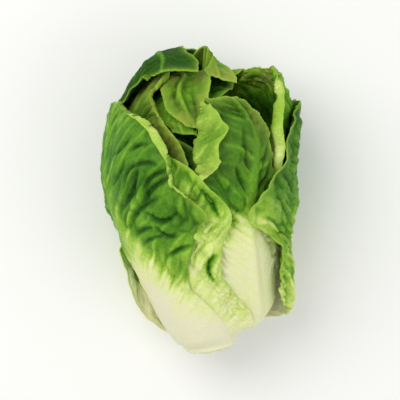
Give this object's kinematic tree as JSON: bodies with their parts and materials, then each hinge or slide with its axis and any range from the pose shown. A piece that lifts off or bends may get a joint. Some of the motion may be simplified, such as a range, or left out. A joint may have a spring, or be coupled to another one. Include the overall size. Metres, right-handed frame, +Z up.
{
  "type": "head of lettuce",
  "caption": "Small cos lettuce head lying on its side, with nested leaves round a short stem and a folded top.",
  "frame": {"origin": "below the middle of the head's bounding box, on the surface that it lies on", "axes": "+Z up, +Y from the cut stem towards the leaf tips, +X to the right seen from above with the stem nearest"},
  "size_m": [0.0936, 0.1468, 0.0916],
  "materials": {
    "green_leaf": "satin, veined and wrinkled",
    "pale_leaf": "satin, veined and wrinkled",
    "heart_leaf": "satin",
    "stem": "matte, moist where cut"
  },
  "bodies": {
    "root": {"stem_core": "stem", "underside_outer_leaf": "green_leaf", "left_outer_leaf": "green_leaf", "right_outer_leaf": "green_leaf", "left_wrapper_leaf": "pale_leaf", "back_hood_leaf": "green_leaf", "front_rib_leaf": "green_leaf", "right_back_leaf": "green_leaf", "left_inner_leaf": "green_leaf", "pointed_tip_leaf": "pale_leaf", "heart_cap_leaf": "pale_leaf", "heart_second_cap_leaf": "pale_leaf", "heart_leaf_1": "heart_leaf", "heart_leaf_2": "heart_leaf", "heart_leaf_3": "heart_leaf", "heart_leaf_4": "heart_leaf", "heart_leaf_5": "heart_leaf", "heart_leaf_6": "heart_leaf", "heart_leaf_7": "heart_leaf", "heart_leaf_8": "heart_leaf"}
  },
  "joints": []
}
